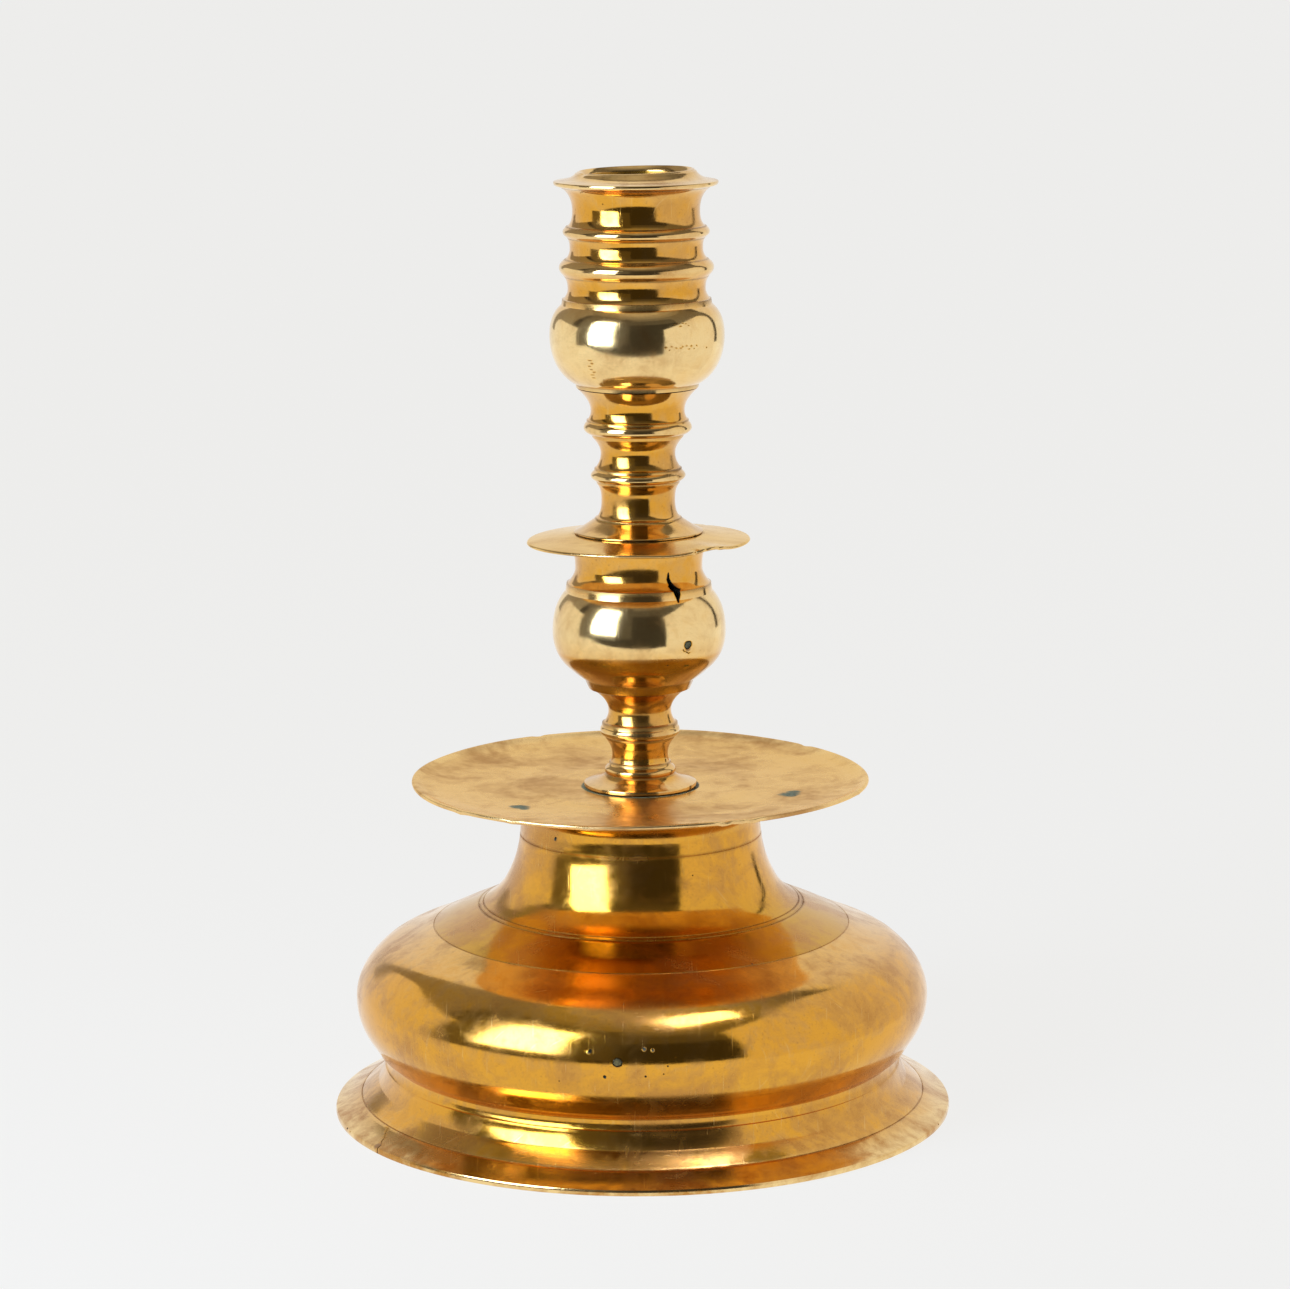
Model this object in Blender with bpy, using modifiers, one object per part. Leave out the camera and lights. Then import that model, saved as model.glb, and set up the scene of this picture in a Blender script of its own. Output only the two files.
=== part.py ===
"""Bell-foot brass candlestick: a hollow cast bell, a dished drip pan, a turned stem in three castings
with a thin mid disc, and a tie rod with washer and nut that holds the stack together from inside the bell.

Metres, +Z up. The origin is the centre of the circle that the foot rests on.
Outlines are written in millimetres as (radius, height above the table) and turned about Z.
"""

import math

import bpy

MM = 0.001

# ---------------------------------------------------------------- driving dimensions, mm
FOOT_R = 90.0          # rim of the foot
BELL_R = 83.35         # widest part of the bell
BELL_WALL = 3.2        # cast wall of the bell
EDGE_R, EDGE_Z = 77.4, 19.4   # sharp lower edge of the bell's body
NECK_R, NECK_Z = 34.7, 86.2   # narrowest part of the bell's neck
DECK_Z, DECK_T, DECK_R = 92.6, 4.0, 37.4   # deck that closes the bell, its thickness and its edge
PAN_R, PAN_Z = 66.25, 95.4    # drip pan: rim radius, floor height
PAN_RIM_Z = 98.2
PAN_T = 2.4
STEM_FOOT_R, STEM_FOOT_Z = 16.3, 95.8
KNOP_R, KNOP_Z = 24.98, 141.3          # lower knop
DISC_R, DISC_Z = 32.1, 167.6           # thin disc between the two halves of the stem
WAIST_R = 10.6                         # coves of the upper stem
BULB_R, BULB_Z = 24.98, 226.6          # upper knop, under the socket
SOCKET_MIN_R = 18.15                   # narrowest part of the socket's barrel
FLANGE_R, FLANGE_Z = 23.4, 269.9       # flange at the mouth
LIP_R, TOP_Z = 16.1, 273.7             # raised lip, and the overall height
BORE_R, BORE_FLOOR_Z = 15.0, 235.5     # candle bore
ROD_R = 4.0                            # tie rod
ROD_HOLE_R = 4.45
GAP = 0.3                              # clearance between pieces that rest on each other
SPIGOT_LOW_R, SPIGOT_MID_R, SPIGOT_TOP_R = 7.0, 8.0, 9.0
SPIGOT_CLEAR = 0.4
ROD_TOP_Z, ROD_BOTTOM_Z = 226.5, 73.0
NUT_ACROSS, NUT_Z, NUT_T = 15.0, 79.6, 6.4
WASHER_R, WASHER_T = 14.0, 1.9

FINE, MEDIUM, COARSE = 44, 28, 16      # facets round the wide, the slim and the hidden pieces


# ---------------------------------------------------------------- outlines
def bend(start, end, leave, arrive, count):
    """Points of a smooth curve from start to end, leaving and arriving at angles of flare from straight down."""
    reach = 0.36 * math.dist(start, end)
    leave, arrive = math.radians(leave), math.radians(arrive)
    first = (start[0] + reach * math.sin(leave), start[1] - reach * math.cos(leave))
    last = (end[0] - reach * math.sin(arrive), end[1] + reach * math.cos(arrive))
    points = []
    for step in range(1, count + 1):
        t = step / count
        s = 1 - t
        points.append(
            tuple(
                s**3 * start[i] + 3 * s * s * t * first[i] + 3 * s * t * t * last[i] + t**3 * end[i]
                for i in (0, 1)
            )
        )
    return points


def outline(*cuts):
    """A turner's run down a profile. (r, z) is a straight cut; (r, z, leave, arrive, count) is a bend."""
    points = [tuple(cuts[0])]
    for cut in cuts[1:]:
        if len(cut) == 2:
            points.append(tuple(cut))
        else:
            points += bend(points[-1], cut[:2], *cut[2:])
    return points


# ---------------------------------------------------------------- scene helpers
def clear_scene():
    for obj in list(bpy.data.objects):
        bpy.data.objects.remove(obj, do_unlink=True)


def new_collection(name):
    found = bpy.data.collections.new(name)
    bpy.context.scene.collection.children.link(found)
    return found


def metal(name, color, roughness):
    found = bpy.data.materials.new(name)
    found.use_nodes = True
    shader = found.node_tree.nodes["Principled BSDF"]
    shader.inputs["Base Color"].default_value = (*color, 1.0)
    shader.inputs["Metallic"].default_value = 1.0
    shader.inputs["Roughness"].default_value = roughness
    found.diffuse_color = (*color, 1.0)
    found.metallic = 1.0
    found.roughness = roughness
    return found


def profile_mesh(name, points, seat_z, closed):
    """The outline as a wire at +X, measured from the piece's own seat."""
    mesh = bpy.data.meshes.new(name)
    verts = [(r * MM, 0.0, (z - seat_z) * MM) for r, z in points]
    last = len(verts) - 1
    edges = [(i, i + 1) for i in range(last)] + ([(last, 0)] if closed else [])
    mesh.from_pydata(verts, edges, [])
    return mesh


def lathe(name, points, seat_z, facets, material=None, closed=True, home=None):
    """A piece turned about Z. Closed outlines go down the outside and up the bore; open ones start and end on the axis."""
    obj = bpy.data.objects.new(name, profile_mesh(name + "_wire", points, seat_z, closed))
    (home or PARTS).objects.link(obj)
    obj.location = (0.0, 0.0, seat_z * MM)
    screw = obj.modifiers.new("Turn", "SCREW")
    screw.axis = "Z"
    screw.angle = math.tau
    screw.steps = screw.render_steps = facets
    screw.use_merge_vertices = True
    screw.merge_threshold = 0.00001
    screw.use_smooth_shade = True
    # keep the turned mesh, so that its corners can be marked sharp and its cuts stay live
    bpy.context.view_layer.update()
    graph = bpy.context.evaluated_depsgraph_get()
    turned = bpy.data.meshes.new_from_object(obj.evaluated_get(graph))
    turned.name = name
    obj.modifiers.clear()
    obj.data = turned
    turned.shade_smooth()
    turned.set_sharp_from_angle(angle=math.radians(34))
    if material:
        turned.materials.clear()
        turned.materials.append(material)
        obj.parent = STICK
    return obj


def cutter(obj):
    obj.hide_render = True
    obj.display_type = "WIRE"
    return obj


def cut(obj, tool):
    hole = obj.modifiers.new("Cut " + tool.name, "BOOLEAN")
    hole.operation = "DIFFERENCE"
    hole.solver = "EXACT"
    hole.object = tool


def on_wall(obj, radius, height, turn, seat_z=0.0):
    """Stands a radial piece at a radius and height, turned from the front (-Y) towards +X, in degrees."""
    a = math.radians(turn)
    obj.location = (radius * MM * math.sin(a), -radius * MM * math.cos(a), height * MM)
    obj.rotation_euler = (math.radians(90), 0.0, a)


clear_scene()
PARTS = new_collection("brass_candlestick")
CUTTERS = new_collection("cutters")
CUTTERS.hide_render = True

STICK = bpy.data.objects.new("candlestick_axis", None)
STICK.empty_display_size = 0.03
PARTS.objects.link(STICK)

BRASS = metal("polished_brass", (0.78, 0.52, 0.20), 0.16)
PAN_BRASS = metal("worn_pan_brass", (0.74, 0.49, 0.24), 0.26)
PLUG_BRASS = metal("plug_brass", (0.55, 0.45, 0.24), 0.38)
IRON = metal("forged_iron", (0.16, 0.14, 0.13), 0.55)


# ---------------------------------------------------------------- bell
bell_outside = outline(
    (DECK_R, DECK_Z),
    (NECK_R, NECK_Z, -34, -4, 4),
    (35.05, 81.8),
    (38.4, 70.2, 5, 26, 4),
    (45.9, 61.6, 26, 60, 4),
    (47.5, 60.8),
    (54.0, 57.7, 64, 68, 1),
    (66.0, 52.2, 68, 67, 2),
    (76.0, 47.8, 66, 52, 3),
    (BELL_R, 34.2, 50, 0, 5),
    (82.0, 27.0, 0, -22, 2),
    (EDGE_R, EDGE_Z, -22, -30, 2),
    (75.6, 18.9),
    (74.8, 16.6),
    (75.4, 14.1),
    (75.9, 13.9),
    (76.3, 11.6),
    (81.8, 3.9, 14, 66, 4),
    (89.4, 1.85),
    (FOOT_R, 1.2),
    (FOOT_R, 0.25),
    (89.75, 0.0),
)
# inside, from the foot's resting ring up to the deck, about a wall's thickness behind the outside
bell_inside = [
    (79.5, 0.0),
    (74.6, 4.2),
    (72.3, 10.0),
    (71.6, 17.0),
    (74.6, 21.6),
    (78.8, 28.0),
    (BELL_R - BELL_WALL, 34.2),
    (78.4, 40.4),
    (73.9, 44.8),
    (64.8, 49.2),
    (52.8, 54.6),
    (44.4, 58.8),
    (36.6, 67.6),
    (32.4, 76.0),
    (31.4, DECK_Z - DECK_T),
    (SPIGOT_LOW_R + SPIGOT_CLEAR, DECK_Z - DECK_T),
    (SPIGOT_LOW_R + SPIGOT_CLEAR, DECK_Z),
]
bell_base = lathe("bell_base", bell_outside + bell_inside, 0.0, FINE, BRASS)

# ---------------------------------------------------------------- drip pan
pan_outline = outline(
    (SPIGOT_LOW_R + SPIGOT_CLEAR, PAN_Z),
    (30.0, PAN_Z),
    (47.0, PAN_Z),
    (61.5, 96.9, 91, 98, 2),
    (65.2, PAN_RIM_Z, 110, 96, 2),
    (PAN_R, 97.8),
    (66.0, 97.1),
    (52.0, 93.8),
    (DECK_R + 1.4, 91.9),
    (DECK_R + 0.5, DECK_Z + GAP),
    (SPIGOT_LOW_R + SPIGOT_CLEAR, DECK_Z + GAP),
)
drip_pan = lathe("drip_pan", pan_outline, PAN_Z, FINE, PAN_BRASS)

# ---------------------------------------------------------------- lower stem: foot, ring and hollow knop
KNOP_TOP_Z = 167.1
lower_outside = outline(
    (19.9, KNOP_TOP_Z),
    (18.3, 159.8, -30, 0, 3),
    (20.2, 155.6, 0, 40, 3),
    (20.8, 155.3),
    (21.2, 152.9),
    (KNOP_R, KNOP_Z, 42, 0, 5),
    (20.8, 131.2, 0, -48, 4),
    (16.0, 127.3),
    (14.7, 124.6),
    (13.9, 124.3),
    (9.1, 117.8, -60, 0, 4),
    (10.1, 114.7, 0, 30, 2),
    (11.1, 113.8),
    (11.55, 111.8),
    (10.6, 110.5),
    (10.0, 109.9),
    (8.1, 105.0, -40, 0, 3),
    (8.5, 102.7),
    (9.3, 101.9),
    (10.35, 100.4),
    (10.1, 99.2),
    (15.8, 97.0, 48, 72, 4),
    (STEM_FOOT_R, 96.7),
    (STEM_FOOT_R, STEM_FOOT_Z),
    (SPIGOT_LOW_R, STEM_FOOT_Z),
    (SPIGOT_LOW_R, 89.2),
)
# up the bore, out round the core space in the knop, and out to the recess for the upper stem's spigot
lower_inside = [
    (ROD_HOLE_R, 89.2),
    (ROD_HOLE_R, 124.0),
    (11.0, 128.6),
    (18.6, 134.6),
    (KNOP_R - 4.0, KNOP_Z),
    (18.0, 150.4),
    (15.2, 155.0),
    (14.2, 158.4),
    (ROD_HOLE_R, 160.6),
    (ROD_HOLE_R, 162.4),
    (SPIGOT_MID_R + SPIGOT_CLEAR, 162.4),
    (SPIGOT_MID_R + SPIGOT_CLEAR, KNOP_TOP_Z),
]
lower_stem = lathe("lower_stem", lower_outside + lower_inside, STEM_FOOT_Z, MEDIUM, BRASS)

# ---------------------------------------------------------------- thin disc
disc_outline = outline(
    (SPIGOT_MID_R + SPIGOT_CLEAR, 169.9),
    (18.2, 169.8),
    (31.5, 168.1, 80, 84, 2),
    (DISC_R, 167.7),
    (31.9, 167.2),
    (19.0, KNOP_TOP_Z + GAP),
    (SPIGOT_MID_R + SPIGOT_CLEAR, KNOP_TOP_Z + GAP),
)
mid_disc = lathe("mid_disc", disc_outline, DISC_Z, FINE, BRASS)

# ---------------------------------------------------------------- upper stem: two coves, two rings and a flared foot
UPPER_FOOT_Z, UPPER_TOP_Z = 170.2, 211.5
upper_outline = outline(
    (17.2, UPPER_TOP_Z),
    (13.45, 205.0, -44, 0, 4),
    (14.4, 202.5, 0, 35, 2),
    (14.65, 201.8),
    (15.5, 200.1, 45, 0, 2),
    (14.3, 198.6, 0, -60, 2),
    (13.2, 198.4),
    (13.1, 197.5),
    (WAIST_R + 0.1, 192.7, -42, 0, 3),
    (12.1, 188.7, 0, 35, 2),
    (12.6, 187.8),
    (13.6, 186.3, 50, 0, 2),
    (12.7, 185.1, 0, -50, 1),
    (11.95, 184.5),
    (WAIST_R, 179.2, -40, 0, 3),
    (11.5, 174.9, 0, 30, 2),
    (12.5, 174.0),
    (17.6, 170.9, 56, 62, 3),
    (17.8, 170.5),
    (17.6, UPPER_FOOT_Z),
    (SPIGOT_MID_R, UPPER_FOOT_Z),
    (SPIGOT_MID_R, 163.0),
    (ROD_HOLE_R, 163.0),
    (ROD_HOLE_R, 218.0),
    (SPIGOT_TOP_R, 218.0),
    (SPIGOT_TOP_R, UPPER_TOP_Z),
)
upper_stem = lathe("upper_stem", upper_outline, UPPER_FOOT_Z, MEDIUM, BRASS)

# ---------------------------------------------------------------- candle socket: bored barrel, rings and upper knop
SOCKET_SEAT_Z = UPPER_TOP_Z + GAP
socket_outline = outline(
    (BORE_R, TOP_Z),
    (LIP_R, TOP_Z),
    (17.4, 272.9, 60, 25, 2),
    (20.2, 271.0, 30, 72, 3),
    (22.9, 270.4),
    (FLANGE_R, FLANGE_Z),
    (22.9, 269.0),
    (21.7, 268.8),
    (SOCKET_MIN_R, 262.2, -65, 0, 4),
    (19.3, 257.8, 0, 40, 3),
    (20.9, 256.0, 45, 0, 3),
    (19.7, 254.4, 0, -50, 2),
    (18.95, 251.2, -35, 0, 2),
    (20.3, 248.4, 0, 40, 2),
    (22.05, 245.9, 50, 0, 3),
    (20.7, 243.5, 0, -45, 2),
    (19.7, 239.9, -35, 0, 2),
    (20.8, 237.1, 0, 40, 2),
    (21.2, 237.0),
    (21.5, 235.4),
    (BULB_R, BULB_Z, 52, 0, 5),
    (17.9, 212.9, 0, -62, 6),
    (17.6, 212.7),
    (17.5, SOCKET_SEAT_Z),
    (SPIGOT_TOP_R + SPIGOT_CLEAR, SOCKET_SEAT_Z),
    (SPIGOT_TOP_R + SPIGOT_CLEAR, 218.6),
    (ROD_R + GAP, 218.6),
    (ROD_R + GAP, 229.0),
)
# the blind threaded hole ends in a drill point; the candle bore has a flat floor
socket_solid_top = [(0.0, TOP_Z)]
socket = lathe(
    "candle_socket",
    socket_solid_top + socket_outline + [(0.0, 231.0)],
    SOCKET_SEAT_Z,
    MEDIUM,
    BRASS,
    closed=False,
)
candle_bore = cutter(
    lathe(
        "candle_bore",
        [(0.0, TOP_Z + 6.0), (BORE_R, TOP_Z + 6.0), (BORE_R, BORE_FLOOR_Z + 1.5), (BORE_R - 1.5, BORE_FLOOR_Z), (0.0, BORE_FLOOR_Z)],
        TOP_Z,
        MEDIUM,
        closed=False,
        home=CUTTERS,
    )
)
cut(socket, candle_bore)

# ---------------------------------------------------------------- tie rod, washer and square nut
rod_outline = [
    (0.0, ROD_TOP_Z),
    (ROD_R - 1.0, ROD_TOP_Z),
    (ROD_R, ROD_TOP_Z - 1.0),
    (ROD_R, ROD_BOTTOM_Z + 1.0),
    (ROD_R - 1.0, ROD_BOTTOM_Z),
    (0.0, ROD_BOTTOM_Z),
]
tie_rod = lathe("tie_rod", rod_outline, ROD_BOTTOM_Z, COARSE, IRON, closed=False)

WASHER_TOP_Z = DECK_Z - DECK_T - GAP
washer_outline = [
    (ROD_HOLE_R, WASHER_TOP_Z),
    (WASHER_R - 0.3, WASHER_TOP_Z),
    (WASHER_R, WASHER_TOP_Z - 0.3),
    (WASHER_R, WASHER_TOP_Z - WASHER_T + 0.3),
    (WASHER_R - 0.3, WASHER_TOP_Z - WASHER_T),
    (ROD_HOLE_R, WASHER_TOP_Z - WASHER_T),
]
clamp_washer = lathe("clamp_washer", washer_outline, WASHER_TOP_Z - WASHER_T, COARSE, IRON)

bpy.ops.mesh.primitive_cube_add(size=1.0)
clamp_nut = bpy.context.active_object
clamp_nut.name = clamp_nut.data.name = "clamp_nut"
for held in list(clamp_nut.users_collection):
    held.objects.unlink(clamp_nut)
PARTS.objects.link(clamp_nut)
for vert in clamp_nut.data.vertices:
    vert.co.x *= NUT_ACROSS * MM
    vert.co.y *= NUT_ACROSS * MM
    vert.co.z *= NUT_T * MM
clamp_nut.location = (0.0, 0.0, (NUT_Z + NUT_T / 2) * MM)
clamp_nut.rotation_euler = (0.0, 0.0, math.radians(18))
clamp_nut.parent = STICK
clamp_nut.data.materials.append(IRON)
chamfer = clamp_nut.modifiers.new("Filed corners", "BEVEL")
chamfer.width = 0.9 * MM
chamfer.segments = 2
chamfer.limit_method = "ANGLE"
nut_hole = cutter(
    lathe(
        "nut_hole",
        [(0.0, NUT_Z + NUT_T + 3), (ROD_R + GAP, NUT_Z + NUT_T + 3), (ROD_R + GAP, NUT_Z - 3), (0.0, NUT_Z - 3)],
        NUT_Z,
        COARSE,
        closed=False,
        home=CUTTERS,
    )
)
cut(clamp_nut, nut_hole)


# ---------------------------------------------------------------- casting flaws: two plugs and one open void
def plug(name, radius, depth, host, wall_r, height, turn, material):
    """A round plug let into a drilled hole, its head flush with the wall."""
    pin = [(0.0, 0.0), (radius - 0.15, 0.0), (radius, -0.15), (radius, -depth), (0.0, -depth)]
    hole_r = radius + GAP
    hole = [(0.0, 4.0), (hole_r, 4.0), (hole_r, -depth - 6.0), (0.0, -depth - 6.0)]
    peg = lathe(name, pin, 0.0, 12, material, closed=False)
    drill = cutter(lathe(name + "_hole", hole, 0.0, 12, closed=False, home=CUTTERS))
    on_wall(peg, wall_r, height, turn)
    on_wall(drill, wall_r, height, turn)
    cut(host, drill)
    return peg


bell_plug = plug("bell_plug", 1.4, 2.8, bell_base, BELL_R - 0.2, 36.0, -4.7, PLUG_BRASS)
knop_plug = plug("knop_plug", 1.15, 3.2, lower_stem, KNOP_R - 0.15, 140.5, 33.6, PLUG_BRASS)

# the void: a ragged tear through the wall of the lower stem's neck, into the core space
VOID_TURN, VOID_Z, VOID_UP, VOID_DOWN, VOID_WIDE = 31.0, 156.4, 4.0, 3.8, 3.0
tear = [
    (0.0, VOID_UP),
    (VOID_WIDE * 0.28, VOID_UP * 0.35),
    (VOID_WIDE * 0.62, VOID_UP * 0.05),
    (VOID_WIDE * 0.30, -VOID_DOWN * 0.35),
    (VOID_WIDE * 0.18, -VOID_DOWN),
    (-VOID_WIDE * 0.08, -VOID_DOWN * 0.95),
    (-VOID_WIDE * 0.34, -VOID_DOWN * 0.10),
    (-VOID_WIDE * 0.18, VOID_UP * 0.45),
]
path = bpy.data.curves.new("casting_void", "CURVE")
path.dimensions = "2D"
path.fill_mode = "BOTH"
path.extrude = 5.0 * MM
line = path.splines.new("POLY")
line.points.add(len(tear) - 1)
for point, (across, up) in zip(line.points, tear):
    point.co = (across * MM, up * MM, 0.0, 1.0)
line.use_cyclic_u = True
void_curve = bpy.data.objects.new("casting_void_curve", path)
CUTTERS.objects.link(void_curve)
bpy.context.view_layer.update()
void_mesh = bpy.data.meshes.new_from_object(void_curve.evaluated_get(bpy.context.evaluated_depsgraph_get()))
bpy.data.objects.remove(void_curve, do_unlink=True)
casting_void = bpy.data.objects.new("casting_void", void_mesh)
CUTTERS.objects.link(casting_void)
weld = casting_void.modifiers.new("Weld", "WELD")
weld.merge_threshold = 0.000001
cutter(casting_void)
on_wall(casting_void, 18.5, VOID_Z, VOID_TURN)
cut(lower_stem, casting_void)
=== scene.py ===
"""Brass candlestick on a pale sweep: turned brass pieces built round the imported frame, with a plain studio about them."""
import math

import bmesh
import bpy
import numpy as np
from mathutils import Matrix, Vector
from mathutils.bvhtree import BVHTree


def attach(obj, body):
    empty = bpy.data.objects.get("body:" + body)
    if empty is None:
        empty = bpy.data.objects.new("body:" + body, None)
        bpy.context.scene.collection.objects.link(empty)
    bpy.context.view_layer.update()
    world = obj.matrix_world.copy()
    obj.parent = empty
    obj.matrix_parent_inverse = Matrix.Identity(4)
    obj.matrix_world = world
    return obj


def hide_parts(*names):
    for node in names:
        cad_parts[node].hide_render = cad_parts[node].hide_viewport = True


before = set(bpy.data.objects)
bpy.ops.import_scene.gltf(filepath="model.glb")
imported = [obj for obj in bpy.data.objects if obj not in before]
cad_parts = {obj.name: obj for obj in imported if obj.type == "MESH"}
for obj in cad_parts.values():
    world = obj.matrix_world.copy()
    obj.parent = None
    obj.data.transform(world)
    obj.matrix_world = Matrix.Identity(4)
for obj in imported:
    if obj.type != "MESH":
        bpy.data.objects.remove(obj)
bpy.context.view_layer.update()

MM = 0.001


# ================================================================ outlines
def bend(start, end, leave, arrive, count):
    """A smooth curve from start to end (radius, height), leaving and arriving at angles of flare from straight down."""
    reach = 0.36 * math.dist(start, end)
    leave, arrive = math.radians(leave), math.radians(arrive)
    a = (start[0] + reach * math.sin(leave), start[1] - reach * math.cos(leave))
    b = (end[0] - reach * math.sin(arrive), end[1] + reach * math.cos(arrive))
    out = []
    for step in range(1, count + 1):
        t = step / count
        s = 1 - t
        out.append(
            tuple(
                s**3 * start[i] + 3 * s * s * t * a[i] + 3 * s * t * t * b[i] + t**3 * end[i]
                for i in (0, 1)
            )
        )
    return out


def outline(*cuts):
    """(r, z) is a straight cut, (r, z, leave, arrive, count) a bend, ("line", width, depth) an incised line at this point."""
    points = [tuple(cuts[0])]
    lines = []
    for index, cut in enumerate(cuts[1:], 1):
        if cut[0] == "line":
            lines.append((len(points) - 1, cut[1], cut[2]))
        elif len(cut) == 2:
            points.append(tuple(cut))
        else:
            points += bend(points[-1], cut[:2], *cut[2:])
    grooves = []
    for at, width, depth in reversed(lines):
        before, here, after = (np.array(points[k], float) for k in (at - 1, at, at + 1))
        along = after - before
        along /= np.linalg.norm(along)
        inward = np.array((along[1], -along[0]))
        cut_in = [
            here - along * width / 2,
            here - along * width * 0.18 + inward * depth,
            here + along * width * 0.18 + inward * depth,
            here + along * width / 2,
        ]
        points[at : at + 1] = [tuple(p) for p in cut_in]
        grooves.append(tuple(here))
    return points, grooves


def spaced(points, longest):
    """The same outline with no stretch longer than this, so that shading follows the curve."""
    out = [points[0]]
    for a, b in zip(points, points[1:]):
        parts = max(1, math.ceil(math.dist(a, b) / longest))
        out += [tuple(a[i] + (b[i] - a[i]) * k / parts for i in (0, 1)) for k in range(1, parts + 1)]
    return out


# ================================================================ turned meshes
def lathe(name, points, around, closed=True, grooves=(), polish=(), warp=None, groove_width=0.5, dull=None):
    """A piece turned about Z from (radius, height) in millimetres. Closed outlines go down the outside and up the inside.

    polish is a list of (height, amount) pairs for the outside. Each point also keeps how far along the outline it is."""
    pts = np.array(points, float)
    count = len(pts)
    steps = np.linalg.norm(np.diff(pts, axis=0), axis=1)
    run = np.concatenate([[0.0], np.cumsum(steps)])
    grime = np.zeros(count)
    for r, z in grooves:
        grime = np.maximum(grime, np.exp(-(((pts[:, 0] - r) ** 2 + (pts[:, 1] - z) ** 2) / groove_width**2)))
    if len(polish):
        heights, amounts = zip(*sorted(polish))
        shine = np.interp(pts[:, 1], heights, amounts)
    else:
        shine = np.zeros(count)
    if dull:
        inside = (pts[:, 0] <= dull[0]) & (pts[:, 1] >= dull[1])
        shine[inside] = -0.7
        grime[inside] = 0.75
    turn = np.arange(around) * math.tau / around
    on_axis = pts[:, 0] < 1e-6
    verts, first, width = [], [], []
    fields = {"run": [], "polish": [], "grime": []}
    for k in range(count):
        first.append(len(verts))
        copies = 1 if on_axis[k] else around
        width.append(copies)
        for j in range(copies):
            verts.append((pts[k, 0] * math.sin(turn[j]), -pts[k, 0] * math.cos(turn[j]), pts[k, 1]))
        fields["run"] += [run[k]] * copies
        fields["polish"] += [shine[k]] * copies
        fields["grime"] += [grime[k]] * copies
    faces = []
    pairs = [(k, k + 1) for k in range(count - 1)] + ([(count - 1, 0)] if closed else [])
    for a, b in pairs:
        for j in range(around):
            n = (j + 1) % around
            if width[a] == 1 and width[b] == 1:
                continue
            if width[a] == 1:
                faces.append((first[a], first[b] + j, first[b] + n))
            elif width[b] == 1:
                faces.append((first[a] + j, first[b], first[a] + n))
            else:
                faces.append((first[a] + j, first[b] + j, first[b] + n, first[a] + n))
    where = np.array(verts)
    if warp:
        where = warp(where)
    mesh = bpy.data.meshes.new(name)
    mesh.from_pydata((where * MM).tolist(), [], faces)
    for key, values in fields.items():
        mesh.attributes.new(key, "FLOAT", "POINT").data.foreach_set("value", np.array(values, np.float32))
    mesh.shade_smooth()
    mesh.set_sharp_from_angle(angle=math.radians(32))
    obj = bpy.data.objects.new(name, mesh)
    bpy.context.scene.collection.objects.link(obj)
    return obj


def polar(where):
    """Radius, height and azimuth of points, with the front at 0 and +X at +90 degrees."""
    r = np.hypot(where[:, 0], where[:, 1])
    return r, where[:, 2], np.degrees(np.arctan2(where[:, 0], -where[:, 1]))


def moved(where, dr=0.0, dz=0.0):
    r, z, az = polar(where)
    a = np.radians(az)
    r = r + dr
    return np.stack([r * np.sin(a), -r * np.cos(a), z + dz], 1)


def apart(az, at):
    return (az - at + 180.0) % 360.0 - 180.0


def wobble(seed, size):
    """Slow unevenness of hand turning, a few hundredths of a millimetre, that breaks up the reflections."""
    rng = np.random.default_rng(seed)
    terms = [(rng.integers(1, 6), rng.uniform(0.02, 0.16), rng.uniform(0, math.tau), rng.uniform(0.4, 1.0)) for _ in range(9)]

    def shift(where):
        r, z, az = polar(where)
        a = np.radians(az)
        total = sum(w * np.sin(n * a + k * z + p) for n, k, p, w in terms)
        return moved(where, dr=size * total / 3.0 * np.clip((r - 8.0) / 4.0, 0, 1) * np.clip((89.5 - r) / 5.0, 0, 1))

    return shift


# ================================================================ cutting tools
def new_mesh_object(name, bm):
    mesh = bpy.data.meshes.new(name)
    bm.to_mesh(mesh)
    bm.free()
    obj = bpy.data.objects.new(name, mesh)
    bpy.context.scene.collection.objects.link(obj)
    return obj


def wall_frame(radius, height, azimuth, lean=0.0):
    """A frame on a wall: X across, Y up the wall, Z out of it. Lean tips the outward direction upwards, in degrees."""
    a, tip = math.radians(azimuth), math.radians(lean)
    out = Vector((math.sin(a) * math.cos(tip), -math.cos(a) * math.cos(tip), math.sin(tip)))
    across = Vector((math.cos(a), math.sin(a), 0.0))
    up = out.cross(across)
    at = Vector((radius * math.sin(a), -radius * math.cos(a), height))
    m = Matrix((across, up, out)).transposed().to_4x4()
    m.translation = at * MM
    return m


def add_prism(bm, shape, low, high, place):
    """A prism of an outline given in millimetres, between two depths along the frame's Z."""
    bottom = [bm.verts.new(place @ Vector((x * MM, y * MM, low * MM))) for x, y in shape]
    top = [bm.verts.new(place @ Vector((x * MM, y * MM, high * MM))) for x, y in shape]
    made = [bm.faces.new(bottom[::-1]), bm.faces.new(top)]
    n = len(shape)
    for k in range(n):
        made.append(bm.faces.new((bottom[k], bottom[(k + 1) % n], top[(k + 1) % n], top[k])))
    return made


def add_pit(bm, wide, tall, deep, place, seed):
    """A small ragged hollow: a squashed ball with an uneven skin."""
    rng = np.random.default_rng(seed)
    ball = bmesh.ops.create_icosphere(bm, subdivisions=2, radius=1.0)["verts"]
    for vert in ball:
        k = 1.0 + rng.uniform(-0.18, 0.18)
        vert.co = place @ Vector((vert.co.x * wide * k * MM, vert.co.y * tall * k * MM, vert.co.z * deep * MM))


uncut = {}


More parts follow.
